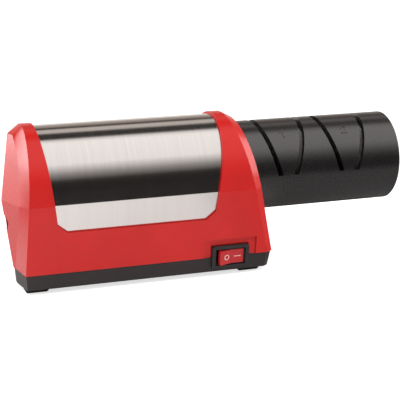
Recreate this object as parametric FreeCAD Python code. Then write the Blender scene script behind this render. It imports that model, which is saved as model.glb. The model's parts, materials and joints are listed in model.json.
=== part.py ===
# Electric knife sharpener: a motor unit with a round two-stage sharpening cartridge on its right end.
# Millimetres. X runs along the machine, the front is -Y, and the rubber feet stand on z = 0.
import FreeCAD, Part
import math
import os

V = FreeCAD.Vector
os.makedirs("parts", exist_ok=True)

# Heights and the shared axis of the motor, the spindle and the barrel
AXIS_Z = 59.0
BASE_BOTTOM = 3.0
BASE_TOP = 11.7
FLOOR = 2.2

# Housing section: a round arch, a short flank, and a lower panel that leans in under the crease
ARCH_Z = 58.5
ARCH_R = 33.2
FLANK_LEAN = math.radians(2.0)
PANEL_LEAN = math.radians(12.1)
CREASE_Z = 50.3
WALL = 2.5
STEEL_FACE = 1.3
STEEL = 0.6
FIT = 0.15

# Housing ends: each pair is the x at arch height and the lean of x per mm of z
LEFT_EDGE = (-105.8, 0.065)
RIGHT_EDGE = (19.0, -0.236)
RIGHT_FACE = (23.5, -0.22)
RIGHT_BEVEL = 3.0
BEYOND_NOSE = (-130.0, 0.0)

# Prow of the left end: flat faces about a ridge at y = 0 that comes furthest out at crease height.
# The leans are the x per mm of y, per mm of z above the crease and per mm of z below it.
NOSE_X = -116.3
NOSE_SIDE = 0.254
NOSE_UPPER = 0.147
NOSE_LOWER = 0.1166
NOSE_WALL = 2.8
# Outline of the prow's faces as (half width, z), from the top down
SHIELD_TOP = (7.1, 86.7)
SHIELD_SHOULDER = (16.9, 73.4)
SHIELD_CHEEK = (22.4, 57.2)
SHIELD_CREASE = (24.3, CREASE_Z)
SHIELD_FOOT = (2.5, BASE_TOP)
SHIELD_TURN = math.radians(14.0)

# Steel window as seen from the front
WINDOW_LEFT = (-93.4, -0.124)
WINDOW_RIGHT = (0.6, 0.138)
WINDOW_BOTTOM = 34.9
WINDOW_CORNER = 5.5

# Cartridge
BARREL_R = 26.0
BARREL_WALL = 2.4
BARREL_START = 8.2
BARREL_END = 111.4
CAP_END = 113.8
NECK_R = 21.5
NECK_START = -2.0
SLOT_HALF_GAP = 5.72
SLOT_TILT = 0.295
SLOT_WIDTH = 2.8
SLOT_FLOOR = 55.4
STAGES = {1: 43.6, 2: 81.3}
COVER_X = (35.0, 104.0)
COVER_HALF = 26.0
NUMERAL_ANGLE = 48.0
NUMERAL_HIGH = 5.6
NUMERAL_WIDE = 3.8
NUMERAL_PEN = 0.8
NUMERAL_PROUD = 0.3
BORE_R = 4.6

# Spindle and abrasive wheels
SPINDLE_R = 3.0
SPINDLE_FLAT = 2.6
RUN = 0.05
WHEEL_R = 21.0
GRIT_INNER_R = 9.0
GRIT = 0.8
HUB_FACE = 8.3
SPRING_SEAT = 14.0
WHEEL_BACK = 16.6
SEAT_R = 8.0
SPRING_R = 6.2
SPRING_WIRE = 0.4
SPRING_TURNS = 4
RING_LEFT = 21.4
RING_RIGHT = 103.2

# Motor
CAN_R = 18.0
CAN_X = (-66.0, -12.0)
SHAFT_R = 1.6
DOG_R = 8.0
DOG_FACE = 0.6
DOG_TOOTH_END = 4.2

# Switch, in its own frame: u along X, v up the panel, n out of the panel
SWITCH_X = 7.5
SWITCH_Z = 11.5
FRAME_HALF_U = 11.0
FRAME_TOP_V = 6.9
RECESS_HALF_U = 15.5
RECESS_TOP_V = 10.8
RECESS_DEPTH = 1.3
RECESS_LOW_DEPTH = 0.5
OPENING_HALF_U = 8.95
OPENING_HALF_V = 5.0
ROCKER_HALF_U = 7.5
ROCKER_HALF_V = 4.2
ROCKER_PIVOT_N = -2.5
ROCKER_TILT = 9.0
RING_U = 3.0

TERMINALS = (-4.0, 4.0)

# Power inlet
INLET_Z = 38.0
INLET_FRONT = -109.9
INLET_BLOCK = 12.5
INLET_COLLAR = 3.6
INLET_HOLE_R = 3.9
INLET_BORE_R = 3.0
INLET_PIN_R = 1.05

# Outline of the base from above, as (x, half width): at its top and at its bottom
BASE_TOP_PLAN = [(-111.0, 2.5), (-108.6, 23.9), (29.8, 23.9), (33.4, 20.8)]
BASE_LOW_PLAN = [(-110.4, 2.5), (-107.9, 22.2), (28.6, 22.2), (31.6, 19.4)]

# Feet: the corner of each with the lowest x and y
FOOT_X = 12.5
FOOT_Y = 8.5
FOOT_SINK = 0.9
FOOT_CHAMFER = 0.9
FEET = {
    "foot_front_left": (-108.0, -16.3),
    "foot_back_left": (-108.0, 7.8),
    "foot_front_right": (15.0, -16.3),
    "foot_back_right": (15.0, 7.8),
}

# Motor cradle
CRADLE_Z = 8.0
CRADLE_PLATE = 2.0
SADDLES = [(-60.0, -52.0), (-26.0, -18.0)]
SADDLE_TOP = 54.0
EAR_HALF = 25.5
STRAP = 0.8
BRUSH_X = -57.0

# Screws
SCREW_HEAD = 1.8
RECESS_HALF = 0.35
SLEEVE_SCREW_CIRCLE = 28.5
SLEEVE_SCREW_ANGLES = [math.radians(a) for a in (40, 140, 220, 320)]
SLEEVE_SCREWS = [
    (SLEEVE_SCREW_CIRCLE * math.cos(a), AXIS_Z + SLEEVE_SCREW_CIRCLE * math.sin(a))
    for a in SLEEVE_SCREW_ANGLES
]
BASE_SCREWS = [(x, y) for x in (-99.0, 24.0) for y in (-15.0, 15.0)]
CRADLE_SCREWS = [(x, y) for x in (-64.5, -13.5) for y in (-12.0, 12.0)]
STRAP_SCREWS = [(SADDLES[0][0] + 4.0, y) for y in (-22.5, 22.5)]

# Leads
LEAD_R = 0.9
LEAD_Z = 12.6
LEAD_Y = 17.0


# The model is drawn about the rocker's end and moved along X so that its box is centred on x = 0
CENTRE_SHIFT = -(NOSE_X + CAP_END) / 2


def box(x0, x1, y0, y1, z0, z1):
    return Part.makeBox(x1 - x0, y1 - y0, z1 - z0, V(x0, y0, z0))


def rod_x(radius, x0, x1, y=0.0, z=AXIS_Z):
    return Part.makeCylinder(radius, x1 - x0, V(x0, y, z), V(1, 0, 0))


def tube_x(outer, inner, x0, x1, y=0.0, z=AXIS_Z):
    return rod_x(outer, x0, x1, y, z).cut(rod_x(inner, x0 - 1, x1 + 1, y, z))


def rod_z(radius, x, y, z0, z1):
    return Part.makeCylinder(radius, z1 - z0, V(x, y, z0), V(0, 0, 1))


def prism_y(points, y0, y1):
    """Extrude a polygon of (x, z) points from y0 to y1."""
    corners = [V(x, y0, z) for x, z in points]
    face = Part.Face(Part.makePolygon(corners + corners[:1]))
    return face.extrude(V(0, y1 - y0, 0))


def plan_wire(points, z):
    """Closed outline through (x, half width) points of a shape that is symmetric about y = 0."""
    front = [V(x, -half, z) for x, half in points]
    back = [V(x, half, z) for x, half in reversed(points)]
    return Part.makePolygon(front + back + front[:1])


def turned(points):
    """Revolve a polygon of (x, radius) points about the machine axis."""
    corners = [V(x, 0, AXIS_Z + r) for x, r in points]
    face = Part.Face(Part.makePolygon(corners + corners[:1]))
    return face.revolve(V(0, 0, AXIS_Z), V(1, 0, 0), 360)


def fused(shapes):
    whole = shapes[0]
    for shape in shapes[1:]:
        whole = whole.fuse(shape)
    return whole.removeSplitter()


def cut_all(shape, tools):
    for tool in tools:
        shape = shape.cut(tool)
    return shape


def save(shape, node):
    placed = shape.copy()
    placed.translate(V(CENTRE_SHIFT, 0, 0))
    placed.exportStep("parts/" + node + ".step")


def line_x(line, z, shift=0.0):
    """The x of a leaning line, given as its x at arch height and its lean, at height z."""
    return line[0] + line[1] * (z - ARCH_Z) + shift


def section_points(inset):
    """Arch end, crease and panel direction of the section, moved in from the outer face by inset."""
    flank_out = V(0, math.cos(FLANK_LEAN), -math.sin(FLANK_LEAN))
    panel_out = V(0, math.cos(PANEL_LEAN), -math.sin(PANEL_LEAN))
    outer_end = V(0, 0, ARCH_Z) + flank_out * ARCH_R
    drop = (outer_end.z - CREASE_Z) / math.cos(FLANK_LEAN)
    crease = outer_end - V(0, math.sin(FLANK_LEAN), math.cos(FLANK_LEAN)) * drop
    crease = crease - (flank_out + panel_out) * (inset / (1 + flank_out.dot(panel_out)))
    return V(0, 0, ARCH_Z) + flank_out * (ARCH_R - inset), crease


def panel_y(z, inset=0.0):
    """Half width of the housing at a height below the crease."""
    crease = section_points(inset)[1]
    return crease.y - (crease.z - z) * math.tan(PANEL_LEAN)


def section_prism(inset, bottom, bottom_half=None):
    """The housing section, extruded well past both ends."""
    arch_end, crease = section_points(inset)
    half = panel_y(bottom, inset) if bottom_half is None else bottom_half
    top = V(0, 0, ARCH_Z + ARCH_R - inset)
    right = [arch_end, crease, V(0, half, bottom)]
    left = [V(0, -p.y, p.z) for p in right]
    edges = [
        Part.Arc(left[0], top, right[0]).toShape(),
        Part.makeLine(right[0], right[1]),
        Part.makeLine(right[1], right[2]),
        Part.makeLine(right[2], left[2]),
        Part.makeLine(left[2], left[1]),
        Part.makeLine(left[1], left[0]),
    ]
    prism = Part.Face(Part.Wire(edges)).extrude(V(200, 0, 0))
    prism.translate(V(-140, 0, 0))
    return prism


def between(left, right, shift=0.0):
    """A block between two leaning planes, moved in from both by shift."""
    low, high = 0.0, 100.0
    corners = [
        (line_x(left, low, shift), low),
        (line_x(right, low, -shift), low),
        (line_x(right, high, -shift), high),
        (line_x(left, high, shift), high),
    ]
    return prism_y(corners, -50, 50)


def sliced(prism, line):
    """Outline of a prism where the leaning plane given by line cuts it."""
    normal = V(1, 0, -line[1])
    distance = (line[0] - line[1] * ARCH_Z) / normal.Length
    return prism.slice(normal.normalize(), distance)[0]


def right_end(full):
    """The bevelled right end of the housing, lofted from its edge to its smaller end face."""
    face = section_prism(RIGHT_BEVEL, BASE_TOP)
    return Part.makeLoft([sliced(full, RIGHT_EDGE), sliced(face, RIGHT_FACE)], True, True)


def nose_point(half, z):
    """A point of the prow's flat faces, given its distance from the middle plane and its height."""
    lean = NOSE_UPPER if z > CREASE_Z else NOSE_LOWER
    return V(NOSE_X + NOSE_SIDE * half + lean * abs(z - CREASE_Z), half, z)


def line(a, b):
    return Part.makeLine(a, b)


def left_edge_point(half, z):
    return V(line_x(LEFT_EDGE, z), half, z)


def left_half_end():
    """The back half of the left end: the bevel from the section's edge, and the prow's two faces."""
    arch_end, crease = section_points(0)
    lean = LEFT_EDGE[1]
    centre = left_edge_point(0, ARCH_Z)
    up = V(lean, 0, 1) * ARCH_R
    arch = Part.Ellipse(centre + up, centre + V(0, ARCH_R, 0), centre)
    turns = [0.0, SHIELD_TURN, math.pi / 2 + FLANK_LEAN]
    arch_top, arch_side = [Part.ArcOfEllipse(arch, a, b).toShape() for a, b in zip(turns, turns[1:])]
    apex = centre + up
    crown_end = arch_side.Vertexes[-1].Point
    edge_crease = left_edge_point(crease.y, crease.z)
    edge_foot = left_edge_point(panel_y(BASE_TOP), BASE_TOP)
    edge_middle = left_edge_point(0, BASE_TOP)
    top, shoulder, cheek, side, foot_end = [
        nose_point(*p) for p in (SHIELD_TOP, SHIELD_SHOULDER, SHIELD_CHEEK, SHIELD_CREASE, SHIELD_FOOT)]
    ridge_top, ridge_peak, ridge_foot = [nose_point(0, z) for z in (SHIELD_TOP[1], CREASE_Z, BASE_TOP)]
    brow = Part.Arc(top, shoulder, cheek).toShape()
    faces = [
        Part.makeRuledSurface(arch_top, line(ridge_top, top)),
        Part.makeRuledSurface(arch_side, brow),
        Part.makeRuledSurface(line(crown_end, edge_crease), line(cheek, side)),
        Part.makeRuledSurface(line(edge_crease, edge_foot), line(side, foot_end)),
        Part.Face(Part.Wire([line(ridge_top, top), brow, line(cheek, side), line(side, ridge_peak),
                             line(ridge_peak, ridge_top)])),
        Part.Face(Part.makePolygon([ridge_peak, side, foot_end, ridge_foot, ridge_peak])),
        Part.Face(Part.makePolygon([edge_foot, foot_end, ridge_foot, edge_middle, edge_foot])),
        Part.Face(Part.Wire([arch_top, arch_side, line(crown_end, edge_crease), line(edge_crease, edge_foot),
                             line(edge_foot, edge_middle), line(edge_middle, apex)])),
        Part.Face(Part.makePolygon([apex, ridge_top, ridge_peak, ridge_foot, edge_middle, apex])),
    ]
    skin = Part.makeCompound(faces)
    skin.sewShape()
    half = Part.makeSolid(skin.Shells[0])
    if half.Volume < 0:
        half.reverse()
    return half


def window_polygon(gap):
    """The window's outline from the front, made smaller by gap."""
    top = 100.0
    low = WINDOW_BOTTOM + gap
    corner = low + 4.6
    left_low = line_x(WINDOW_LEFT, corner, gap)
    right_low = line_x(WINDOW_RIGHT, corner, -gap)
    return [
        (line_x(WINDOW_LEFT, top, gap), top),
        (left_low, corner),
        (left_low + WINDOW_CORNER, low),
        (right_low - WINDOW_CORNER, low),
        (right_low, corner),
        (line_x(WINDOW_RIGHT, top, -gap), top),
    ]


def on_panel(shape):
    """Move a shape from the switch's own frame (x = u, y = -n, z = v) onto the front panel."""
    shape.rotate(V(0, 0, 0), V(1, 0, 0), math.degrees(PANEL_LEAN))
    shape.translate(V(SWITCH_X, -panel_y(SWITCH_Z), SWITCH_Z))
    return shape


def housing_outer():
    full = section_prism(0, BASE_TOP)
    middle = full.common(between(LEFT_EDGE, RIGHT_EDGE))
    back = left_half_end()
    front = back.mirror(V(0, 0, 0), V(0, 1, 0))
    return fused([middle, back, front, right_end(full)])


def space_inside(outer, wall, end_wall, gap):
    """What lies within the housing's walls; the end wall follows the prow, and gap clears the right end."""
    moved = outer.copy()
    moved.translate(V(end_wall, 0, 0))
    walls = section_prism(wall, BASE_TOP - 1).common(between(BEYOND_NOSE, RIGHT_EDGE, gap))
    return moved.common(walls)


def housing_shell():
    outer = housing_outer()
    shell = outer.cut(space_inside(outer, WALL, NOSE_WALL, 0.3))
    # Long screw bosses hang from the arch at the left, and stand on the end wall at the right
    inside = space_inside(outer, 1.0, 1.0, 0.0)
    bosses = []
    for x, y in BASE_SCREWS:
        top = 90.0 if x < 0 else 33.0
        bosses.append(rod_z(3.2, x, y, BASE_TOP, top))
        if x > 0:
            bosses.append(box(x, x + 14, y - 1, y + 1, BASE_TOP + 3.5, 33.0))
    for y, z in SLEEVE_SCREWS:
        bosses.append(rod_x(2.0, BARREL_START, 30, y, z))
    # Two shelves hold the power inlet
    for z in (INLET_Z - 7.6, INLET_Z + 6.1):
        bosses.append(box(INLET_FRONT - 3, INLET_FRONT + 10, -5, 5, z, z + 1.5))
    shell = fused([shell] + [boss.common(inside) for boss in bosses])
    # Pilot holes, the steel cover's recess, the barrel's mouth, the inlet and the switch
    tools = [rod_z(1.5, x, y, 0, 26.0) for x, y in BASE_SCREWS]
    tools += [rod_x(0.9, 0, 15.5, y, z) for y, z in SLEEVE_SCREWS]
    recess = prism_y(window_polygon(0), -50, 50).cut(section_prism(STEEL_FACE + STEEL, 0))
    tools.append(recess)
    tools.append(rod_x(BARREL_R + FIT, BARREL_START + 0.01, 45))
    tools.append(rod_x(INLET_HOLE_R, -120, -100, 0, INLET_Z))
    tools.append(on_panel(switch_recess()))
    gap = FRAME_HALF_U + FIT
    tools.append(on_panel(box(-gap, gap, -4, 12, -20, FRAME_TOP_V + FIT)))
    return cut_all(shell, tools)


def switch_recess():
    """The shallow recess round the switch: deepest along its top edge, and shallower lower down."""
    side = [(-4, RECESS_TOP_V), (RECESS_DEPTH, RECESS_TOP_V), (RECESS_LOW_DEPTH, -20), (-4, -20)]
    corners = [V(-RECESS_HALF_U, y, z) for y, z in side]
    face = Part.Face(Part.makePolygon(corners + corners[:1]))
    return face.extrude(V(2 * RECESS_HALF_U, 0, 0))


def steel_cover():
    sheet = section_prism(STEEL_FACE, WINDOW_BOTTOM - 5).cut(
        section_prism(STEEL_FACE + STEEL, WINDOW_BOTTOM - 6))
    return sheet.common(prism_y(window_polygon(FIT), -50, 50))


def inset_plan(plan, inset):
    """The plan moved in all round; its two end points sit on short slants and move in less."""
    moved = []
    for x, half in plan:
        at_end = x in (plan[0][0], plan[-1][0])
        moved.append((x + math.copysign(inset, -x), half - inset * (0.6 if at_end else 1.0)))
    return moved


def foot_seat(x, y, grow):
    """The upper block of a foot, grown sideways to make its seat in the base."""
    return box(x - grow, x + FOOT_X + grow, y - grow, y + FOOT_Y + grow, 0, BASE_BOTTOM + FOOT_SINK)


def foot(x, y):
    """A rubber pad that narrows towards the table."""
    pad = Part.makeBox(FOOT_X, FOOT_Y, BASE_BOTTOM + FOOT_SINK, V(x, y, 0))
    rim = [e for e in pad.Edges if e.BoundBox.ZMax < 0.01]
    return pad.makeChamfer(FOOT_CHAMFER, rim)


def base_shell():
    body = Part.makeLoft([plan_wire(BASE_LOW_PLAN, BASE_BOTTOM), plan_wire(BASE_TOP_PLAN, BASE_TOP)],
                         True, True)
    hollow = Part.makeLoft([
        plan_wire(inset_plan(BASE_LOW_PLAN, 2.4), BASE_BOTTOM + FLOOR),
        plan_wire(inset_plan(BASE_TOP_PLAN, 2.4), BASE_TOP + 0.01)], True, True)
    lip_plan = inset_plan(BASE_TOP_PLAN, 2.3)
    lip_outer = Part.Face(plan_wire(lip_plan, BASE_TOP - 3)).extrude(V(0, 0, 5.2))
    lip_inner = Part.Face(plan_wire(inset_plan(lip_plan, 1.4), BASE_TOP - 4)).extrude(V(0, 0, 8))
    outer = housing_outer()
    walls = outer.cut(space_inside(outer, WALL + FIT, NOSE_WALL + FIT, 0.5))
    lip = lip_outer.cut(lip_inner).cut(walls)
    pieces = [body.cut(hollow), lip]
    # Screw bosses and the seats of the motor cradle's screws
    for x, y in BASE_SCREWS:
        pieces.append(rod_z(4.8, x, y, BASE_BOTTOM, BASE_TOP))
    for x, y in CRADLE_SCREWS:
        pieces.append(rod_z(2.6, x, y, BASE_BOTTOM, CRADLE_Z))
    # The switch frame stands up from the front wall
    frame = box(-FRAME_HALF_U, FRAME_HALF_U, -0.9, 2.6, -6.2, FRAME_TOP_V)
    frame = frame.makeFillet(1.6, [e for e in frame.Edges if is_frame_corner(e)])
    pieces.append(on_panel(frame))
    base = fused(pieces)
    tools = [on_panel(box(-OPENING_HALF_U, OPENING_HALF_U, -3, 8, -OPENING_HALF_V, OPENING_HALF_V))]
    for x, y in BASE_SCREWS:
        tools.append(rod_z(3.4, x, y, 0, BASE_TOP - 3.3))
        tools.append(rod_z(1.8, x, y, 0, BASE_TOP + 1))
    for x, y in CRADLE_SCREWS:
        tools.append(rod_z(1.1, x, y, BASE_BOTTOM + 1, CRADLE_Z + 1))
    for x, y in FEET.values():
        tools.append(foot_seat(x, y, RUN))
    for i in range(7):
        x = -58.0 + 6.0 * i
        tools.append(box(x, x + 2.2, -13, 13, 0, BASE_BOTTOM + FLOOR + 0.5))
    return cut_all(base, tools)


def is_frame_corner(edge):
    """True for the two upper corners of the switch frame, whose edges run out of the panel."""
    ends = [v.Point for v in edge.Vertexes]
    along_n = abs(ends[0].y - ends[1].y) > 3
    return along_n and ends[0].z > 0


def motor_cradle():
    """Two saddles on one plate, screwed to the base; the left one has ears for the strap."""
    pieces = [box(-68, -10, -15, 15, CRADLE_Z, CRADLE_Z + CRADLE_PLATE)]
    for x0, x1 in SADDLES:
        foot_half = 14.0
        side = [(foot_half, CRADLE_Z), (foot_half + 4, 38.0), (EAR_HALF, 47.0), (EAR_HALF, SADDLE_TOP)]
        outline = side + [(-y, z) for y, z in reversed(side)]
        corners = [V(x0, y, z) for y, z in outline]
        plate = Part.Face(Part.makePolygon(corners + corners[:1])).extrude(V(x1 - x0, 0, 0))
        plate = plate.cut(rod_x(7.0, x0 - 1, x1 + 1, 0, 24.0))
        pieces.append(plate)
    pieces.append(box(SADDLES[0][1] - 1, SADDLES[1][0] + 1, -1.5, 1.5, CRADLE_Z, 16.0))
    cradle = fused(pieces)
    tools = [rod_x(CAN_R, -80, 0)]
    tools += [rod_z(1.4, x, y, 0, 20) for x, y in CRADLE_SCREWS]
    tools += [rod_z(1.0, x, y, SADDLE_TOP - 8, SADDLE_TOP + 1) for x, y in STRAP_SCREWS]
    return cut_all(cradle, tools)


def motor_strap():
    x0, x1 = SADDLES[0]
    arch = tube_x(CAN_R + STRAP, CAN_R, x0, x1).common(box(x0, x1, -30, 30, SADDLE_TOP, 90))
    ears = [box(x0, x1, a, b, SADDLE_TOP, SADDLE_TOP + STRAP)
            for a, b in ((-EAR_HALF, -CAN_R + 1), (CAN_R - 1, EAR_HALF))]
    strap = fused([arch] + ears).cut(rod_x(CAN_R, -80, 0))
    return cut_all(strap, [rod_z(1.3, x, y, 40, 70) for x, y in STRAP_SCREWS])


def screws_z(places, head_z, head_r, shank_r, length, up):
    """Pan-head screws with a cross recess; up is +1 when the shank points up."""
    whole = []
    for x, y in places:
        outer = head_z - SCREW_HEAD * up
        head = rod_z(head_r, x, y, *sorted((head_z, outer)))
        shank = rod_z(shank_r, x, y, *sorted((head_z, head_z + up * length)))
        screw = head.fuse(shank).removeSplitter()
        low, high = sorted((outer, outer + up * SCREW_HEAD / 2))
        for a, b in ((head_r * 0.6, RECESS_HALF), (RECESS_HALF, head_r * 0.6)):
            screw = screw.cut(box(x - a, x + a, y - b, y + b, low, high))
        whole.append(screw)
    return Part.makeCompound(whole)


def sleeve_screws():
    """Small screws along X that hold the socket sleeve's flange to the housing."""
    whole = []
    for y, z in SLEEVE_SCREWS:
        head = rod_x(1.7, BARREL_START - 3.4, BARREL_START - 2.2, y, z)
        screw = head.fuse(rod_x(0.9, BARREL_START - 2.2, 15.0, y, z)).removeSplitter()
        slot = box(BARREL_START - 3.5, BARREL_START - 2.9, y - 1.2, y + 1.2, z - 0.25, z + 0.25)
        whole.append(screw.cut(slot))
    return Part.makeCompound(whole)


def socket_sleeve():
    flange = tube_x(29.5, NECK_R + FIT, BARREL_START - 2.2, BARREL_START)
    for y, z in SLEEVE_SCREWS:
        flange = flange.fuse(rod_x(2.6, BARREL_START - 2.2, BARREL_START, y, z))
    tube = tube_x(NECK_R + 1.9, NECK_R + FIT, NECK_START - 1, BARREL_START)
    sleeve = fused([flange, tube])
    room = section_prism(WALL + FIT, 5)
    return cut_all(sleeve.common(room), [rod_x(0.95, 0, 20, y, z) for y, z in SLEEVE_SCREWS])


def power_inlet():
    """The barrel socket: a moulded block behind the end wall with a collar in the wall's hole."""
    block = box(INLET_FRONT, INLET_FRONT + INLET_BLOCK, -4.5, 4.5, INLET_Z - 6.1, INLET_Z + 6.1)
    collar = rod_x(INLET_HOLE_R, INLET_FRONT - INLET_COLLAR, INLET_FRONT, 0, INLET_Z)
    inlet = block.fuse(collar).removeSplitter()
    tools = [rod_x(INLET_BORE_R, INLET_FRONT - 10, INLET_FRONT + 7.5, 0, INLET_Z)]
    tools.append(rod_x(INLET_PIN_R, INLET_FRONT + 7, INLET_FRONT + 11, 0, INLET_Z))
    return cut_all(inlet, tools)


def inlet_pin():
    return rod_x(INLET_PIN_R, INLET_FRONT - 2.5, INLET_FRONT + 11, 0, INLET_Z)


def switch_body():
    body = box(-OPENING_HALF_U, OPENING_HALF_U, 0.3, 13, -OPENING_HALF_V, OPENING_HALF_V)
    room_u, room_v = OPENING_HALF_U - 0.75, OPENING_HALF_V - 0.6
    room = box(-room_u, room_u, -1, 8, -room_v, room_v)
    pivot = rod_z(0.95, 0, -ROCKER_PIVOT_N, -OPENING_HALF_V + 0.1, OPENING_HALF_V - 0.1)
    body = cut_all(body, [room, pivot])
    for u in TERMINALS:
        body = body.cut(box(u - 0.4, u + 0.4, 9, 14, -2.4, 2.4))
    return on_panel(body)


def switch_terminals():
    blades = []
    for u in TERMINALS:
        blade = box(u - 0.4, u + 0.4, 9, 19.5, -2.4, 2.4)
        hole = Part.makeCylinder(0.9, 4, V(u - 2, 17.3, 0), V(1, 0, 0))
        blades.append(on_panel(blade.cut(hole)))
    return Part.makeCompound(blades)


def rocker_marks_shape():
    """A ring on the off side and a bar on the on side, let into the rocker's two faces."""
    ring = Part.makeCylinder(1.6, 3, V(-RING_U, 0, 0), V(0, -1, 0))
    ring = ring.cut(Part.makeCylinder(1.15, 3, V(-RING_U, 0, 0), V(0, -1, 0)))
    bar = box(1.5, 5.6, -3, 0, -0.2, 0.2)
    return ring, bar


def rocker_profile(lift):
    """The rocker before it is tipped: a shallow valley on top; lift moves the valley out."""
    end = ROCKER_HALF_U
    points = [(-end, 1.6 + lift), (0, 0.4 + lift), (end, 1.6 + lift), (end, -1.4), (3.0, -4.6), (-3.0, -4.6),
              (-end, -1.4)]
    corners = [V(u, -n, -ROCKER_HALF_V) for u, n in points]
    face = Part.Face(Part.makePolygon(corners + corners[:1]))
    return face.extrude(V(0, 0, 2 * ROCKER_HALF_V))


def tilted(shape):
    """Tip the rocker about its pivot so that its on side is pressed in."""
    shape.rotate(V(0, -ROCKER_PIVOT_N, 0), V(0, 0, 1), ROCKER_TILT)
    return on_panel(shape)


def rocker_and_marks():
    body = rocker_profile(0.0)
    top_edges = []
    for edge in body.Edges:
        points = [v.Point for v in edge.Vertexes]
        if all(p.y < -1.5 for p in points) or all(abs(abs(p.x) - ROCKER_HALF_U) < 0.01 for p in points):
            top_edges.append(edge)
    body = body.makeFillet(0.5, top_edges)
    pin = rod_z(0.9, 0, -ROCKER_PIVOT_N, -OPENING_HALF_V + 0.3, OPENING_HALF_V - 0.3)
    body = body.fuse(pin).removeSplitter()
    skin = rocker_profile(0.04).cut(rocker_profile(-0.25))
    marks = [shape.common(skin) for shape in rocker_marks_shape()]
    for mark in marks:
        body = body.cut(mark)
    return tilted(body), Part.makeCompound([tilted(mark) for mark in marks])


def motor_can():
    x0, x1 = CAN_X
    can = tube_x(CAN_R, CAN_R - 1.2, x0 + 3, x1)
    front = rod_x(CAN_R, x1 - 1.2, x1)
    boss = rod_x(6.5, x1, x1 + 3.0)
    can = fused([can, front, boss]).cut(rod_x(3.2, x1 - 2, x1 + 4))
    return cut_all(can, [rod_x(1.5, x1 - 2, x1 + 1, y, AXIS_Z) for y in (-12.5, 12.5)])


def magnet(side):
    x0, x1 = CAN_X
    ring = tube_x(CAN_R - 1.2, 13.6, x0 + 14, x1 - 8)
    wedge = box(x0, x1, 0, 30, AXIS_Z - 9.5, AXIS_Z + 9.5)
    if side < 0:
        wedge = box(x0, x1, -30, 0, AXIS_Z - 9.5, AXIS_Z + 9.5)
    return ring.common(wedge)


def motor_end_bell():
    x0 = CAN_X[0]
    plate = rod_x(CAN_R - 0.2, x0, x0 + 3)
    spigot = tube_x(CAN_R - 1.3, CAN_R - 3.5, x0 + 3, x0 + 8)
    boss = rod_x(5.0, x0 - 2.5, x0)
    bell = fused([plate, spigot, boss])
    holders = [box(x0 + 3, BRUSH_X + 3.5, y, y + 8, AXIS_Z - 3, AXIS_Z + 3) for y in (-14, 6)]
    bell = fused([bell] + holders)
    tools = [rod_x(3.2, x0 - 4, x0 + 4)]
    tools += [box(BRUSH_X - 2.5, BRUSH_X + 2.5, y, y + 9, AXIS_Z - 2, AXIS_Z + 2) for y in (-14.5, 5.5)]
    tools += [box(x0 - 1, x0 + 4, y, y + 0.8, AXIS_Z - 2.5, AXIS_Z + 2.5) for y in (-12.4, 11.6)]
    return cut_all(bell, tools)


def brush(side):
    block = box(BRUSH_X - 2.5, BRUSH_X + 2.5, 4.55, 13.0, AXIS_Z - 2, AXIS_Z + 2)
    return block if side > 0 else block.mirror(V(0, 0, 0), V(0, 1, 0))


def motor_terminals():
    x0 = CAN_X[0]
    tabs = [box(x0 - 6, x0 + 4, y, y + 0.8, AXIS_Z - 2.5, AXIS_Z + 2.5) for y in (-12.4, 11.6)]
    return Part.makeCompound(tabs)


def bush(x0, x1, outer, inner):
    return tube_x(outer, inner, x0, x1)


def armature_core():
    """Five-pole laminated core."""
    x0, x1 = CAN_X[0] + 16.0, CAN_X[1] - 10.0
    pieces = [tube_x(5.5, SHAFT_R, x0, x1)]
    rim = tube_x(13.1, 11.4, x0, x1)
    for i in range(5):
        angle = 72.0 * i
        arm = box(x0, x1, -1.6, 1.6, AXIS_Z + 4.5, AXIS_Z + 12.2)
        shoe = rim.common(pole_wedge(x0, x1))
        for piece in (arm, shoe):
            piece.rotate(V(0, 0, AXIS_Z), V(1, 0, 0), angle)
            pieces.append(piece)
    return fused(pieces)


def pole_wedge(x0, x1):
    """A sector about the machine axis, as wide as one pole shoe."""
    reach, half = 16.0, math.radians(30)
    corners = [V(x0, 0, AXIS_Z)]
    corners += [V(x0, reach * math.sin(a), AXIS_Z + reach * math.cos(a)) for a in (-half, half)]
    return Part.Face(Part.makePolygon(corners + corners[:1])).extrude(V(x1 - x0, 0, 0))


def armature_windings(core):
    """One copper coil round each pole, with end turns past the core."""
    x0, x1 = CAN_X[0] + 16.0, CAN_X[1] - 10.0
    coils = []
    for i in range(5):
        coil = box(x0 - 2.2, x1 + 2.2, -3.1, 3.1, AXIS_Z + 6.4, AXIS_Z + 10.9)
        coil = coil.makeFillet(0.9, [e for e in coil.Edges if abs(e.tangentAt(0.1).z) > 0.9])
        coil.rotate(V(0, 0, AXIS_Z), V(1, 0, 0), 72.0 * i)
        coils.append(coil)
    whole = coils[0]
    for coil in coils[1:]:
        whole = whole.fuse(coil)
    return whole.cut(core).cut(rod_x(6.0, x0 - 5, x1 + 5))


def commutator():
    ring = tube_x(4.5, SHAFT_R, BRUSH_X - 5, BRUSH_X + 5.5)
    flange = tube_x(5.6, SHAFT_R, BRUSH_X + 5.5, BRUSH_X + 6.8)
    whole = fused([ring, flange])
    for i in range(5):
        groove = box(BRUSH_X - 6, BRUSH_X + 5.5, -0.2, 0.2, AXIS_Z + 4.1, AXIS_Z + 5)
        groove.rotate(V(0, 0, AXIS_Z), V(1, 0, 0), 72.0 * i + 36)
        whole = whole.cut(groove)
    return whole


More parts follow.
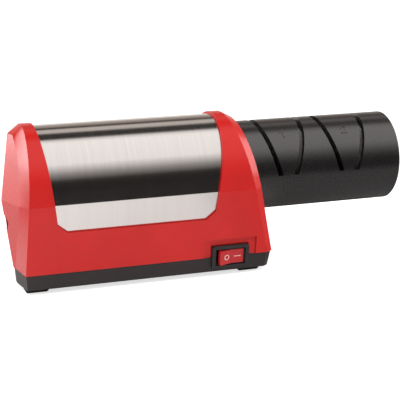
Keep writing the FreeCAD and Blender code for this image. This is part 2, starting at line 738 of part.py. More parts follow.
def teeth(x0, x1, centre, half):
    """Two opposite face teeth between the hub radius and the dog's rim."""
    pieces = []
    for turn in (0, 180):
        reach = 20.0
        corners = [V(x0, 0, AXIS_Z)]
        for a in (-half, -half / 3, half / 3, half):
            angle = math.radians(centre + turn + a)
            corners.append(V(x0, reach * math.cos(angle), AXIS_Z + reach * math.sin(angle)))
        wedge = Part.Face(Part.makePolygon(corners + corners[:1])).extrude(V(x1 - x0, 0, 0))
        pieces.append(wedge.common(tube_x(DOG_R, 3.6, x0, x1)))
    return pieces


def drive_dog():
    hub = tube_x(DOG_R, SHAFT_R, -6.0, DOG_FACE)
    return fused([hub] + teeth(DOG_FACE - 0.5, DOG_TOOTH_END, 90, 32))


def driven_dog():
    hub = rod_x(DOG_R, DOG_TOOTH_END + 0.4, BARREL_START - 0.3)
    dog = fused([hub] + teeth(DOG_FACE + 0.4, DOG_TOOTH_END + 0.9, 0, 50))
    return dog.cut(spindle_bar(DOG_TOOTH_END, 20, 0))


def spindle_bar(x0, x1, grow):
    """The spindle's D section; grow makes the matching bore."""
    low = box(x0 - 1, x1 + 1, -10, 10, AXIS_Z - 10, AXIS_Z + SPINDLE_FLAT + grow)
    return rod_x(SPINDLE_R + grow, x0, x1).common(low)


def spindle_shaft():
    journals = [rod_x(SPINDLE_R, a, b) for a, b in ((BARREL_START - 0.3, 16.5), (104.4, 109.2))]
    return fused([spindle_bar(DOG_TOOTH_END + 0.4, 109.2, 0)] + journals)


def mirrored(shape, centre):
    return shape.mirror(V(centre, 0, AXIS_Z), V(1, 0, 0))


def grit_face(r):
    """Distance of the abrasive face from the stage's centre, just clear of the blade slot."""
    return SLOT_HALF_GAP + SLOT_TILT * r + SLOT_WIDTH / 2 * 1.04 + FIT


def wheel(centre, side):
    """Carrier and abrasive face of one wheel; side is -1 left of the stage's centre, +1 right."""
    inner, outer = grit_face(GRIT_INNER_R), grit_face(WHEEL_R)
    carrier = turned([(centre + t, r) for t, r in (
        (HUB_FACE, 1.0), (HUB_FACE, 6.5), (inner, GRIT_INNER_R), (inner + GRIT, GRIT_INNER_R),
        (outer + GRIT, WHEEL_R), (WHEEL_BACK, WHEEL_R - 0.8), (WHEEL_BACK, SEAT_R), (SPRING_SEAT, SEAT_R),
        (SPRING_SEAT, 1.0))])
    carrier = carrier.cut(rod_x(1.5, centre, centre + 20))
    carrier = carrier.cut(spindle_bar(centre, centre + 20, RUN))
    grit = turned([(centre + t, r) for t, r in (
        (inner, GRIT_INNER_R), (outer, WHEEL_R), (outer + GRIT, WHEEL_R), (inner + GRIT, GRIT_INNER_R))])
    if side > 0:
        return carrier, grit
    return mirrored(carrier, centre), mirrored(grit, centre)


def stop_sleeve(centre):
    sleeve = rod_x(4.0, centre - HUB_FACE, centre + HUB_FACE)
    return sleeve.cut(spindle_bar(centre - 20, centre + 20, 0))


def corner_arc(start, corner, end):
    """The arc that leaves start towards corner and reaches end from it; both legs are equal."""
    back = (start - corner).normalize()
    ahead = (end - corner).normalize()
    half_turn = (math.pi - back.getAngle(ahead)) / 2
    radius = (start - corner).Length / math.tan(half_turn)
    bisector = (back + ahead).normalize()
    middle = corner + bisector * (radius / math.cos(half_turn) - radius)
    return Part.Arc(start, middle, end).toShape(), radius


def biarc(start, start_way, end, end_way):
    """Two equal-legged arcs that join two points and keep the direction given at each."""
    chord = end - start
    a = 2 * (start_way.dot(end_way) - 1)
    b = -2 * chord.dot(start_way + end_way)
    c = chord.dot(chord)
    leg = (-b - math.sqrt(b * b - 4 * a * c)) / (2 * a)
    corners = start + start_way * leg, end - end_way * leg
    joint = (corners[0] + corners[1]) * 0.5
    return [corner_arc(start, corners[0], joint)[0], corner_arc(joint, corners[1], end)[0]]


def spring(x0, x1):
    """Compression spring along X: a helix in quarter turns."""
    length = x1 - x0 - 2 * SPRING_WIRE
    quarters = 4 * SPRING_TURNS
    rise = length / quarters
    places = []
    for i in range(quarters + 1):
        turn = math.pi / 2 * i
        place = V(x0 + SPRING_WIRE + rise * i, SPRING_R * math.sin(turn), AXIS_Z + SPRING_R * math.cos(turn))
        way = V(rise / (math.pi / 2), SPRING_R * math.cos(turn), -SPRING_R * math.sin(turn)).normalize()
        places.append((place, way))
    edges = []
    for (start, start_way), (end, end_way) in zip(places, places[1:]):
        edges += biarc(start, start_way, end, end_way)
    path = Part.Wire(edges)
    section = Part.Wire([Part.makeCircle(SPRING_WIRE, *places[0])])
    coil = path.makePipeShell([section], True, False)
    share = coil.Volume / (math.pi * SPRING_WIRE ** 2 * path.Length)
    print("spring pitch", round(4 * rise, 2), "volume share", round(share, 3))
    return coil


def retaining_rings():
    rings = []
    for x in (RING_LEFT - 1.0, RING_RIGHT):
        rings.append(rod_x(7.6, x, x + 1.0).cut(spindle_bar(x - 1, x + 2, 0)))
    return Part.makeCompound(rings)


def slot_edge(centre, side, z, offset):
    """x of a line parallel to a blade slot; offset is measured outwards from the slot's middle."""
    return centre + side * (SLOT_HALF_GAP + SLOT_TILT * (z - AXIS_Z) + offset)


def stage_wedge(centre, offset, low):
    high = 90.0
    corners = [(slot_edge(centre, -1, low, offset), low), (slot_edge(centre, 1, low, offset), low),
               (slot_edge(centre, 1, high, offset), high), (slot_edge(centre, -1, high, offset), high)]
    return prism_y(corners, -40, 40)


def bottom_sector(half_angle, x0, x1):
    reach = 40.0
    corners = [V(x0, 0, AXIS_Z)]
    for a in (-half_angle, half_angle):
        corners.append(V(x0, reach * math.sin(math.radians(a)), AXIS_Z - reach * math.cos(math.radians(a))))
    return Part.Face(Part.makePolygon(corners + corners[:1])).extrude(V(x1 - x0, 0, 0))


def barrel_shell():
    half_slot = SLOT_WIDTH / 2 * 1.04
    tube = tube_x(BARREL_R, BARREL_R - BARREL_WALL, BARREL_START, BARREL_END)
    neck = tube_x(NECK_R, NECK_R - 2.2, NECK_START, BARREL_START + 1)
    bulkhead = rod_x(BARREL_R - 1, BARREL_START, BARREL_START + 2.6)
    hub = rod_x(8.0, BARREL_START, BARREL_START + 7.0)
    cross = []
    for centre in STAGES.values():
        shelf = box(centre - 1.7, centre + 1.7, -30, 30, 42.0, SLOT_FLOOR)
        cross.append(shelf.common(rod_x(BARREL_R - 1, centre - 3, centre + 3)))
    shell = fused([tube, neck, bulkhead, hub] + cross)
    tools = [stage_wedge(centre, half_slot, SLOT_FLOOR) for centre in STAGES.values()]
    tools.append(rod_x(5.0, BARREL_START - 1, BARREL_START + 8))
    tools.append(bottom_sector(COVER_HALF, *COVER_X))
    tools.append(tube_x(NECK_R + 1, NECK_R - 1.3, 1.3, 2.7))
    tools += [rod_x(BORE_R, centre - 5, centre + 5) for centre in STAGES.values()]
    return cut_all(shell, tools)


def numeral(number):
    """A plain numeral, drawn in X and Z about the origin, as a bar from y = -4 to y = 4."""
    high, wide, pen = NUMERAL_HIGH / 2, NUMERAL_WIDE / 2, NUMERAL_PEN
    if number == 1:
        flag = [(-pen / 2, high), (-wide, high - 1.5), (-wide, high - 1.5 - pen), (-pen / 2, high - 1.2)]
        return fused([box(-pen / 2, pen / 2, -4, 4, -high, high), prism_y(flag, -4, 4)])
    bow_z = high - wide
    bow = Part.makeCylinder(wide, 8, V(0, -4, bow_z), V(0, 1, 0))
    bow = bow.cut(Part.makeCylinder(wide - pen, 8, V(0, -4, bow_z), V(0, 1, 0)))
    bow = bow.cut(prism_y([(0, bow_z), (-9, bow_z), (-9, -9), (3, -9)], -5, 5))
    stem = prism_y([(wide * 0.98, bow_z - 0.4), (-wide + pen * 1.2, -high + pen), (-wide, -high),
                    (-wide, -high + pen), (wide * 0.9 - pen, bow_z - 0.6)], -4, 4)
    return fused([bow, stem, box(-wide, wide, -4, 4, -high, -high + pen)])


def guide_insert(number, centre):
    """The wedge between a stage's two slots, with its number raised on the front."""
    half_slot = SLOT_WIDTH / 2 * 1.04
    wedge = stage_wedge(centre, -half_slot, SLOT_FLOOR).common(rod_x(BARREL_R, centre - 20, centre + 20))
    mark = numeral(number)
    mark.translate(V(centre, -BARREL_R, AXIS_Z))
    mark.rotate(V(0, 0, AXIS_Z), V(1, 0, 0), -NUMERAL_ANGLE)
    mark = mark.common(rod_x(BARREL_R + NUMERAL_PROUD, centre - 5, centre + 5))
    return fused([wedge, mark]).cut(rod_x(BORE_R, centre - 30, centre + 30))


def end_cap_piece():
    disc = rod_x(BARREL_R, BARREL_END, CAP_END)
    rim = [e for e in disc.Edges if e.Closed and abs(e.BoundBox.XMin - CAP_END) < 0.01 and e.Length > 50]
    disc = disc.makeChamfer(0.8, rim)
    dish = rod_x(BARREL_R - 4.5, CAP_END - 0.8, CAP_END + 1)
    spigot = tube_x(BARREL_R - BARREL_WALL - 0.05, BARREL_R - BARREL_WALL - 1.8, 105.6, BARREL_END)
    hub = rod_x(8.0, 104.6, BARREL_END)
    ribs = []
    for angle in (90, 210, 330):
        rib = box(106.5, BARREL_END, -0.8, 0.8, AXIS_Z + 7, AXIS_Z + 22)
        rib.rotate(V(0, 0, AXIS_Z), V(1, 0, 0), angle)
        ribs.append(rib)
    cap = fused([disc.cut(dish), spigot, hub] + ribs)
    return cap.cut(rod_x(5.0, 104.0, 109.6))


def dust_cover():
    x0, x1 = COVER_X
    shell = tube_x(BARREL_R, BARREL_R - BARREL_WALL, x0 + FIT, x1 - FIT)
    cover = shell.common(bottom_sector(COVER_HALF - 0.4, x0 + FIT, x1 - FIT))
    notch = Part.makeCylinder(4.2, 6, V(x1 - FIT, 0, AXIS_Z - BARREL_R - 3), V(0, 0, 1))
    low = box(x1 - 6, x1, -6, 6, AXIS_Z - BARREL_R - 1, AXIS_Z - BARREL_R + 1.5)
    return cover.cut(notch.common(low))


def grip_ring():
    return Part.makeTorus(NECK_R - 0.62, 0.62, V(2.0, 0, AXIS_Z), V(1, 0, 0))


def rounded_path(points):
    """Straight runs joined by tangent arcs, each arc as large as its two runs allow."""
    points = [V(*p) for p in points]
    edges, here, radii = [], points[0], []
    for before, corner, after in zip(points, points[1:], points[2:]):
        reach = 0.45 * min((before - corner).Length, (after - corner).Length)
        start = corner + (before - corner).normalize() * reach
        end = corner + (after - corner).normalize() * reach
        arc, radius = corner_arc(start, corner, end)
        edges.append(line(here, start))
        edges.append(arc)
        radii.append(radius)
        here = end
    edges.append(line(here, points[-1]))
    return Part.Wire(edges), radii


def lead(name, points):
    """One insulated lead inside the housing."""
    path, radii = rounded_path(points)
    start = V(*points[0])
    circle = Part.Wire([Part.makeCircle(LEAD_R, start, V(*points[1]) - start)])
    solid = path.makePipeShell([circle], True, False)
    share = solid.Volume / (math.pi * LEAD_R ** 2 * path.Length)
    print(name, "least radius", round(min(radii), 1), "volume share", round(share, 3))
    return solid


def build():
    nodes = {
        "base_shell": base_shell(),
        "housing_shell": housing_shell(),
        "steel_cover": steel_cover(),
        "socket_sleeve": socket_sleeve(),
        "sleeve_screws": sleeve_screws(),
        "power_inlet": power_inlet(),
        "inlet_pin": inlet_pin(),
        "switch_body": switch_body(),
        "switch_terminals": switch_terminals(),
        "motor_cradle": motor_cradle(),
        "motor_strap": motor_strap(),
        "motor_can": motor_can(),
        "magnet_front": magnet(-1),
        "magnet_back": magnet(1),
        "motor_end_bell": motor_end_bell(),
        "motor_terminals": motor_terminals(),
        "brush_front": brush(-1),
        "brush_back": brush(1),
        "motor_bush_front": bush(CAN_X[1] - 1.2, CAN_X[1] + 3, 3.2, SHAFT_R + RUN),
        "motor_bush_rear": bush(CAN_X[0] - 2.5, CAN_X[0] + 3, 3.2, SHAFT_R + RUN),
        "base_screws": screws_z(BASE_SCREWS, BASE_TOP - 3.3, 2.9, 1.5, 17.0, 1),
        "cradle_screws": screws_z(CRADLE_SCREWS, CRADLE_Z + CRADLE_PLATE, 2.2, 1.1, 5.5, -1),
        "strap_screws": screws_z(STRAP_SCREWS, SADDLE_TOP + STRAP, 2.2, 1.0, 7.5, -1),
        "motor_shaft": rod_x(SHAFT_R, CAN_X[0] - 3.5, DOG_FACE - 0.2),
        "commutator": commutator(),
        "drive_dog": drive_dog(),
        "driven_dog": driven_dog(),
        "spindle_shaft": spindle_shaft(),
        "retaining_rings": retaining_rings(),
        "stop_sleeves": Part.makeCompound([stop_sleeve(centre) for centre in STAGES.values()]),
        "barrel_shell": barrel_shell(),
        "end_cap": end_cap_piece(),
        "dust_cover": dust_cover(),
        "grip_ring": grip_ring(),
        "spindle_bush_left": bush(BARREL_START, BARREL_START + 7, 5.0, SPINDLE_R + RUN),
        "spindle_bush_right": bush(104.6, 109.6, 5.0, SPINDLE_R + RUN),
        "spring_left": spring(RING_LEFT, STAGES[1] - SPRING_SEAT),
        "spring_middle": spring(STAGES[1] + SPRING_SEAT, STAGES[2] - SPRING_SEAT),
        "spring_right": spring(STAGES[2] + SPRING_SEAT, RING_RIGHT),
    }
    core = armature_core()
    nodes["armature_core"] = core
    nodes["armature_windings"] = armature_windings(core)
    nodes["rocker"], nodes["rocker_marks"] = rocker_and_marks()
    for name, (x, y) in FEET.items():
        nodes[name] = foot(x, y)
    for number, centre in STAGES.items():
        nodes["guide_insert_%d" % number] = guide_insert(number, centre)
        for side, word in ((-1, "left"), (1, "right")):
            carrier, grit = wheel(centre, side)
            nodes["wheel_%d_%s" % (number, word)] = carrier
            nodes["abrasive_%d_%s" % (number, word)] = grit
    nodes.update(leads())
    return nodes


def panel_point(u, n):
    """A point of the switch's own frame, halfway up the panel, in the machine's frame."""
    lean = PANEL_LEAN
    return SWITCH_X + u, -panel_y(SWITCH_Z) - n * math.cos(lean), SWITCH_Z - n * math.sin(lean)


def leads():
    """Inlet to switch, switch to motor, and the motor's return to the inlet."""
    inlet_x = INLET_FRONT + INLET_BLOCK + 0.8
    tail_left = panel_point(TERMINALS[0], -21.0)
    tail_right = panel_point(TERMINALS[1], -21.0)
    motor_x = CAN_X[0] - 7.0
    routes = {
        "lead_inlet_switch": [
            (inlet_x, -2.5, INLET_Z - 2.5), (-89, -6, 29), (-82, -LEAD_Y, 15), (-60, -LEAD_Y - 0.4, LEAD_Z),
            (-36, -LEAD_Y, LEAD_Z + 0.3), (-13, -LEAD_Y + 1, LEAD_Z), (-3.5, -4.5, 14.2), tail_left],
        "lead_switch_motor": [
            tail_right, (7.0, 4.5, 14.4), (-5, LEAD_Y - 2, LEAD_Z), (-28, LEAD_Y, LEAD_Z + 0.4),
            (-52, LEAD_Y + 0.4, LEAD_Z), (-72, LEAD_Y - 0.5, LEAD_Z + 3), (-80, 14, 34),
            (-80.5, 12.5, AXIS_Z - 6), (motor_x - 0.4, 12, AXIS_Z)],
        "lead_motor_return": [
            (motor_x - 0.4, -12, AXIS_Z), (-81, -11, 58.0), (-88, -5, 49.5), (inlet_x, 2.5, INLET_Z + 2.5)],
    }
    return {name: lead(name, route) for name, route in routes.items()}


for node_name, node_shape in build().items():
    save(node_shape, node_name)
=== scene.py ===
"""Electric knife sharpener: materials, edges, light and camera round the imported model."""

import json
import math

import bpy
from mathutils import Matrix, Vector

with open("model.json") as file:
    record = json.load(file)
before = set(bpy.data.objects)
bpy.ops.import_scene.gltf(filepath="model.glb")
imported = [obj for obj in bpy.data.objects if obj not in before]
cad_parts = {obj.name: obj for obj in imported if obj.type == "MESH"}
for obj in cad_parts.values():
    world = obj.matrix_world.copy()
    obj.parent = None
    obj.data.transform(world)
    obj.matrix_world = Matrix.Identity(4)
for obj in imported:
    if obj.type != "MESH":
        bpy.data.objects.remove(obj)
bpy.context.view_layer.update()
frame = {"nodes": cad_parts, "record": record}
nodes = frame["nodes"]

# Lengths are in metres

# Camera: where it stands, which way it looks, and its lens
CAMERA_AT = Vector((-0.1981, -0.6275, 0.1683))
CAMERA_AZIMUTH = math.radians(17.48)
CAMERA_ELEVATION = math.radians(11.0)
CAMERA_ROLL = math.radians(-1.63)
CAMERA_LENS = 103.9
CAMERA_SENSOR = 36.0

# Colours
RED = (0.60, 0.016, 0.014)
ROCKER_RED = (0.50, 0.016, 0.020)
BLACK = (0.021, 0.018, 0.018)
BARREL_BLACK = (0.009, 0.0085, 0.0085)
STEEL = (0.80, 0.78, 0.76)
GRIT = (0.52, 0.50, 0.47)
WHITE = (1.0, 1.0, 1.0)
FLOOR_COLOUR = (0.8, 0.8, 0.8)
ROOM_DARK = (0.020, 0.018, 0.017)

# Most values of a noise lie between these
NOISE_RANGE = (0.3, 0.7)

# Mouldings: patches of colour and grains per metre, and how far they change the colour and the roughness
CLOUDS = (60, 60, 60)
CLOUD_SPREAD = 0.04
GRAINS = (2500, 2500, 2500)
GRAIN_ROUGHNESS = (0.88, 1.12)

# Plain metals: how far tool marks change the colour and the roughness
MARK_SPREAD = 0.05
MARK_ROUGHNESS = (0.75, 1.3)

# Arched cover: fine and broad brush marks per metre along x, y and z, and the share of each
BRUSH_FINE = (9000, 25, 25)
BRUSH_BROAD = (700, 12, 12)
FINE_SHARE = 0.6
BROAD_SHARE = 0.4
# What the marks do: to the colour, to the roughness, to the surface, and to the shape of the gloss
BRUSH_SPREAD = 0.06
BRUSH_ROUGHNESS = (0.15, 0.22)
BRUSH_DEPTH = 0.0000028
BRUSH_ANISOTROPY = 0.85
QUARTER_TURN = 0.25

# Bonded grit: grains per metre, and how far they differ
GRIT_GRAINS = (4000, 4000, 4000)
GRIT_SPREAD = 0.3
GRIT_ROUGHNESS = 0.75
GRIT_DEPTH = 0.00006

# Rounding of the sharp edges, on the two large mouldings and on the small ones
LARGE_MOULDINGS = ["housing_shell", "barrel_shell"]
LARGE_ROUNDING = 0.0004
SMALL_MOULDINGS = [
    "base_shell", "end_cap", "guide_insert_1", "guide_insert_2", "dust_cover", "rocker",
    "foot_front_left", "foot_back_left", "foot_front_right", "foot_back_right",
]
SMALL_ROUNDING = 0.0003
SHARP_ANGLE = math.radians(30)
FLAT_ANGLE = math.radians(0.4)
ROUNDING_STEPS = 2

# Floor: half its side, and how brightly it glows to the camera
FLOOR_REACH = 12.0
FLOOR_GLOW = 0.70
# In mirrors it is dark in front of the object and turns white from the first y to the second
TABLE_EDGE = (-0.17, -0.11)
# Painted shade, seen only in mirrors: the floor turns grey under the barrel from the first x to the
# second, down to this share
BARREL_SHADE_EDGE = (0.015, 0.06)
BARREL_SHADE_LEVEL = 0.26

# What the room shows a mirror, by the degrees from the front horizon over the top to the back
ROOM = [
    (0, ROOM_DARK),
    (8, (0.030, 0.027, 0.025)),
    (22, (0.30, 0.28, 0.27)),
    (42, (0.95, 0.90, 0.88)),
    (90, (1.05, 1.00, 0.98)),
    (97, (0.75, 0.70, 0.68)),
    (101, (0.03, 0.027, 0.025)),
    (117, (0.035, 0.030, 0.028)),
    (121, (0.55, 0.50, 0.48)),
    (132, (0.60, 0.53, 0.48)),
    (136, (0.04, 0.03, 0.028)),
    (141, (0.045, 0.035, 0.032)),
    (145, (0.30, 0.25, 0.23)),
    (158, (0.45, 0.38, 0.33)),
    (166, (0.85, 0.80, 0.76)),
    (180, (0.95, 0.95, 0.95)),
]

# Lamps: name, place, the point that the lamp faces, width and height, and power in watts
LAMPS = [
    ("key", (-0.5, -0.9, 1.3), (0, 0, 0.05), (1.2, 0.8), 9.0),
    ("fill", (0.7, -1.2, 0.5), (0, 0, 0.05), (1.0, 1.0), 3.0),
]
# Bright cards, given in the same way, for mirrors to show: the left one in the flat faces of the prow,
# the right one in the bevel of the right collar
CARDS = [
    ("left_card", (-0.85, 0.67, 0.36), (-0.11, 0, 0.07), (0.7, 0.66), 6.3),
    ("right_card", (1.0, -0.05, 0.35), (0, 0, 0.06), (0.8, 0.66), 6.0),
]


def node(tree, kind, **settings):
    """Add a node and set its attributes; a name that is an input's sets that input's value."""
    made = tree.nodes.new(kind)
    for name, value in settings.items():
        if hasattr(made, name):
            setattr(made, name, value)
        else:
            made.inputs[name.replace("_", " ")].default_value = value
    return made


def link(tree, out, into):
    """Join an output socket to an input socket."""
    tree.links.new(out, into)


def new_material(name):
    """A new material, its node tree and its surface shader."""
    material = bpy.data.materials.new(name)
    material.use_nodes = True
    tree = material.node_tree
    return material, tree, tree.nodes["Principled BSDF"]


def place(tree, stretch):
    """Object coordinates, in metres, multiplied by stretch along x, y and z."""
    coordinates = node(tree, "ShaderNodeTexCoord")
    mapping = node(tree, "ShaderNodeMapping", Scale=stretch)
    link(tree, coordinates.outputs["Object"], mapping.inputs["Vector"])
    return mapping.outputs["Vector"]


def along_axes(tree, kind):
    """The X, Y and Z sockets of one kind of texture coordinates."""
    coordinates = node(tree, "ShaderNodeTexCoord")
    split = node(tree, "ShaderNodeSeparateXYZ")
    link(tree, coordinates.outputs[kind], split.inputs["Vector"])
    return split.outputs


def noise(tree, vector, detail):
    """Cloudy noise at the given place, about one patch for each unit of the vector."""
    made = node(tree, "ShaderNodeTexNoise", Scale=1.0, Detail=detail)
    link(tree, vector, made.inputs["Vector"])
    return made.outputs["Fac"]


def ranged(tree, value, low, high, between=NOISE_RANGE):
    """Map a value that lies between two limits onto the range from low to high."""
    made = node(tree, "ShaderNodeMapRange", From_Min=between[0], From_Max=between[1], To_Min=low,
                To_Max=high)
    link(tree, value, made.inputs["Value"])
    return made.outputs["Result"]


def maths(tree, operation, *values):
    """One operation on some values, each of them a socket or a number."""
    made = node(tree, "ShaderNodeMath", operation=operation)
    for value, into in zip(values, made.inputs):
        if isinstance(value, (int, float)):
            into.default_value = value
        else:
            link(tree, value, into)
    return made.outputs["Value"]


def tinted(tree, value, colour, spread):
    """The colour, made darker and lighter by spread as a noise's value rises."""
    ramp = node(tree, "ShaderNodeValToRGB")
    first, last = ramp.color_ramp.elements
    first.position, last.position = NOISE_RANGE
    first.color = (*[channel * (1 - spread) for channel in colour], 1)
    last.color = (*[min(channel * (1 + spread), 1) for channel in colour], 1)
    link(tree, value, ramp.inputs["Fac"])
    return ramp.outputs["Color"]


def bumped(tree, bsdf, height, depth):
    """Raise the surface by depth as height runs from 0 to 1."""
    bump = node(tree, "ShaderNodeBump", Strength=1.0, Distance=depth)
    link(tree, height, bump.inputs["Height"])
    link(tree, bump.outputs["Normal"], bsdf.inputs["Normal"])


def mixed(tree, share, first, second):
    """The first shader, turning into the second as share runs from 0 to 1."""
    made = node(tree, "ShaderNodeMixShader")
    link(tree, share, made.inputs["Fac"])
    link(tree, first, made.inputs[1])
    link(tree, second, made.inputs[2])
    return made.outputs["Shader"]


def moulded(name, colour, roughness, depth=0.000004, shine=0.5, ior=1.5):
    """Moulded plastic or rubber: a fine grain in the surface and a faint unevenness in the colour."""
    material, tree, bsdf = new_material(name)
    clouds = noise(tree, place(tree, CLOUDS), detail=3.0)
    grains = noise(tree, place(tree, GRAINS), detail=2.0)
    smoothest, roughest = [roughness * factor for factor in GRAIN_ROUGHNESS]
    link(tree, tinted(tree, clouds, colour, CLOUD_SPREAD), bsdf.inputs["Base Color"])
    link(tree, ranged(tree, grains, smoothest, roughest), bsdf.inputs["Roughness"])
    bumped(tree, bsdf, grains, depth)
    bsdf.inputs["Specular IOR Level"].default_value = shine
    bsdf.inputs["IOR"].default_value = ior
    return material


def metal(name, colour, roughness, lines=(900, 900, 900), depth=0.000003):
    """Metal with tool or brush marks, which are closest together along the largest of lines."""
    material, tree, bsdf = new_material(name)
    marks = noise(tree, place(tree, lines), detail=4.0)
    smoothest, roughest = [roughness * factor for factor in MARK_ROUGHNESS]
    link(tree, tinted(tree, marks, colour, MARK_SPREAD), bsdf.inputs["Base Color"])
    link(tree, ranged(tree, marks, smoothest, roughest), bsdf.inputs["Roughness"])
    bsdf.inputs["Metallic"].default_value = 1.0
    bumped(tree, bsdf, marks, depth)
    return material


def brushed_cover():
    """The arched cover: brushed round its curve, so marks lie close together along X."""
    material, tree, bsdf = new_material("steel")
    fine = noise(tree, place(tree, BRUSH_FINE), detail=5.0)
    broad = noise(tree, place(tree, BRUSH_BROAD), detail=3.0)
    broad_part = ranged(tree, broad, 0.0, BROAD_SHARE, between=(0.0, 1.0))
    marks = maths(tree, "MULTIPLY_ADD", fine, FINE_SHARE, broad_part)
    link(tree, tinted(tree, marks, STEEL, BRUSH_SPREAD), bsdf.inputs["Base Color"])
    link(tree, ranged(tree, marks, *BRUSH_ROUGHNESS), bsdf.inputs["Roughness"])
    bsdf.inputs["Metallic"].default_value = 1.0
    bsdf.inputs["Anisotropic"].default_value = BRUSH_ANISOTROPY
    bsdf.inputs["Anisotropic Rotation"].default_value = QUARTER_TURN
    tangent = node(tree, "ShaderNodeTangent", direction_type="RADIAL", axis="X")
    link(tree, tangent.outputs["Tangent"], bsdf.inputs["Tangent"])
    bumped(tree, bsdf, marks, BRUSH_DEPTH)
    return material


def abrasive_grit():
    """Bonded grit: pale and dark grains set close together."""
    material, tree, bsdf = new_material("abrasive")
    cells = node(tree, "ShaderNodeTexVoronoi", Scale=1.0)
    link(tree, place(tree, GRIT_GRAINS), cells.inputs["Vector"])
    grains = cells.outputs["Distance"]
    link(tree, tinted(tree, grains, GRIT, GRIT_SPREAD), bsdf.inputs["Base Color"])
    bsdf.inputs["Roughness"].default_value = GRIT_ROUGHNESS
    bumped(tree, bsdf, grains, GRIT_DEPTH)
    return material


def make_finishes():
    """The finish for each material slot, by the slot's name."""
    # The arguments are a name, a colour, a roughness and, for some metals, marks per metre on each axis
    return {
        "red_plastic": moulded("red_plastic", RED, 0.25, depth=0.0000004, shine=0.38),
        "rocker_red": moulded("rocker_red", ROCKER_RED, 0.22),
        "black_plastic": moulded("black_plastic", BLACK, 0.5, depth=0.000008),
        "barrel_plastic": moulded("barrel_plastic", BARREL_BLACK, 0.27, depth=0.0000005, shine=0.8,
                                  ior=1.75),
        # Wheel plastic: dark in its own right, and made darker still to paint the shade inside the slots
        "wheel_plastic": moulded("wheel_plastic", (0.05, 0.05, 0.052), 0.5),
        "mark_white": moulded("mark_white", (0.80, 0.62, 0.60), 0.5),
        "rubber": moulded("rubber", (0.018, 0.018, 0.018), 0.75, depth=0.00001),
        "carbon": moulded("carbon", (0.03, 0.03, 0.032), 0.6),
        "lead_red": moulded("lead_red", (0.40, 0.012, 0.012), 0.4),
        "lead_black": moulded("lead_black", (0.02, 0.02, 0.02), 0.4),
        "steel": brushed_cover(),
        "bright_steel": metal("bright_steel", (0.72, 0.72, 0.72), 0.16, (3000, 300, 300)),
        "zinc_steel": metal("zinc_steel", (0.55, 0.56, 0.58), 0.34),
        "laminated_iron": metal("laminated_iron", (0.20, 0.19, 0.18), 0.5, (2000, 30, 30), depth=0.00004),
        "ferrite": metal("ferrite", (0.06, 0.06, 0.065), 0.7),
        "copper": metal("copper", (0.74, 0.32, 0.14), 0.3, (200, 3000, 3000), depth=0.00003),
        "brass": metal("brass", (0.76, 0.56, 0.25), 0.28),
        "abrasive": abrasive_grit(),
    }


def give_finishes():
    """Give each node the finish that the record's material slot names."""
    finishes = make_finishes()
    for part in frame["record"]["subparts"]:
        slots = nodes[part["node"]].data.materials
        slots.clear()
        slots.append(finishes[part["material_slot"]])


def soften_edges(names, width):
    """Round off the sharp edges of some nodes, and shade what is left between them smoothly."""
    for name in names:
        flatten = nodes[name].modifiers.new("flatten", "DECIMATE")
        flatten.decimate_type = "DISSOLVE"
        flatten.angle_limit = FLAT_ANGLE
        bevel = nodes[name].modifiers.new("bevel", "BEVEL")
        bevel.width = width
        bevel.segments = ROUNDING_STEPS
        bevel.limit_method = "ANGLE"
        bevel.angle_limit = SHARP_ANGLE
        bevel.harden_normals = True
        bevel.use_clamp_overlap = False


def floor_material():
    """White floor that keeps the object's shadow; in mirrors it is a lit table in a dark room, with
    painted shade under the barrel.
    """
    material, tree, bsdf = new_material("floor")
    tree.nodes.remove(bsdf)
    path = node(tree, "ShaderNodeLightPath").outputs
    diffuse = node(tree, "ShaderNodeBsdfDiffuse", Color=(*FLOOR_COLOUR, 1))
    glow = node(tree, "ShaderNodeEmission", Color=(*WHITE, 1))
    link(tree, maths(tree, "MULTIPLY", path["Is Camera Ray"], FLOOR_GLOW), glow.inputs["Strength"])
    both = node(tree, "ShaderNodeAddShader")
    link(tree, diffuse.outputs["BSDF"], both.inputs[0])
    link(tree, glow.outputs["Emission"], both.inputs[1])
    table = both.outputs["Shader"]

    at = along_axes(tree, "Object")
    front = ranged(tree, at["Y"], 0.0, 1.0, between=TABLE_EDGE)
    # Painted shade under the barrel, for mirrors only: the floor turns grey from the first x on
    side = ranged(tree, at["X"], 1.0, BARREL_SHADE_LEVEL, between=BARREL_SHADE_EDGE)
    dark = node(tree, "ShaderNodeEmission", Color=(*ROOM_DARK, 1), Strength=1.0)
    mirrored = mixed(tree, maths(tree, "MULTIPLY", front, side), dark.outputs["Emission"], table)

    surface = mixed(tree, path["Is Glossy Ray"], table, mirrored)
    link(tree, surface, tree.nodes["Material Output"].inputs["Surface"])
    return material


def make_floor():
    """A large square floor under the feet."""
    mesh = bpy.data.meshes.new("floor")
    far = FLOOR_REACH
    corners = [(-far, -far, 0), (far, -far, 0), (far, far, 0), (-far, far, 0)]
    mesh.from_pydata(corners, [], [(0, 1, 2, 3)])
    mesh.materials.append(floor_material())
    floor = bpy.data.objects.new("floor", mesh)
    bpy.context.scene.collection.objects.link(floor)


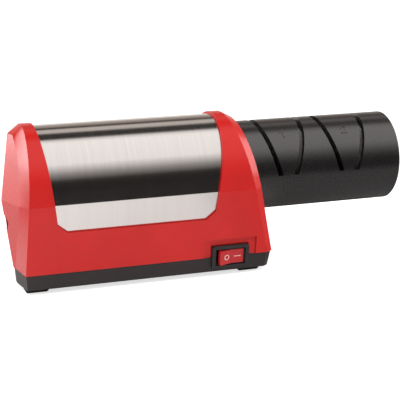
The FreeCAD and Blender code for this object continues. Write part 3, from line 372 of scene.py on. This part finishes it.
def make_world():
    """The room: white to the camera, and bands of light and dark to everything else."""
    world = bpy.data.worlds.new("room")
    bpy.context.scene.world = world
    world.use_nodes = True
    tree = world.node_tree
    towards = along_axes(tree, "Generated")
    angle = maths(tree, "ARCTAN2", towards["Z"], maths(tree, "MULTIPLY", towards["Y"], -1.0))

    ramp = node(tree, "ShaderNodeValToRGB")
    link(tree, ranged(tree, angle, 0.0, 1.0, between=(0.0, math.pi)), ramp.inputs["Fac"])
    stops = ramp.color_ramp.elements
    stops[0].color = (*ROOM[0][1], 1)
    stops[-1].color = (*ROOM[-1][1], 1)
    for degrees, colour in ROOM[1:-1]:
        stops.new(degrees / 180).color = (*colour, 1)

    path = node(tree, "ShaderNodeLightPath")
    seen = node(tree, "ShaderNodeMix", data_type="RGBA")
    link(tree, path.outputs["Is Camera Ray"], seen.inputs["Factor"])
    link(tree, ramp.outputs["Color"], seen.inputs["A"])
    seen.inputs["B"].default_value = (*WHITE, 1)
    link(tree, seen.outputs["Result"], tree.nodes["Background"].inputs["Color"])


def make_lamp(name, at, towards, size, power):
    """A rectangular lamp that faces the point towards."""
    lamp = bpy.data.lights.new(name, "AREA")
    lamp.shape = "RECTANGLE"
    lamp.size, lamp.size_y = size
    lamp.energy = power
    holder = bpy.data.objects.new(name, lamp)
    holder.location = at
    holder.rotation_euler = (Vector(towards) - Vector(at)).to_track_quat("-Z", "Y").to_euler()
    bpy.context.scene.collection.objects.link(holder)
    return holder


def make_camera():
    """The camera, at the photograph's angle."""
    level = math.cos(CAMERA_ELEVATION)
    ahead = Vector((math.sin(CAMERA_AZIMUTH) * level, math.cos(CAMERA_AZIMUTH) * level,
                    -math.sin(CAMERA_ELEVATION)))
    right = Vector((math.cos(CAMERA_AZIMUTH), -math.sin(CAMERA_AZIMUTH), 0))
    up = right.cross(ahead)
    turned_right = right * math.cos(CAMERA_ROLL) + up * math.sin(CAMERA_ROLL)
    turned_up = up * math.cos(CAMERA_ROLL) - right * math.sin(CAMERA_ROLL)
    axes = Matrix((turned_right, turned_up, -ahead)).transposed()
    camera = bpy.data.objects.new("camera", bpy.data.cameras.new("camera"))
    camera.data.lens = CAMERA_LENS
    camera.data.sensor_width = CAMERA_SENSOR
    camera.matrix_world = Matrix.Translation(CAMERA_AT) @ axes.to_4x4()
    bpy.context.scene.collection.objects.link(camera)
    bpy.context.scene.camera = camera


give_finishes()
soften_edges(LARGE_MOULDINGS, LARGE_ROUNDING)
soften_edges(SMALL_MOULDINGS, SMALL_ROUNDING)
make_floor()
make_world()
make_camera()
for settings in LAMPS:
    make_lamp(*settings).visible_glossy = False
for settings in CARDS:
    make_lamp(*settings).visible_camera = False

bpy.context.scene.view_settings.view_transform = "Standard"
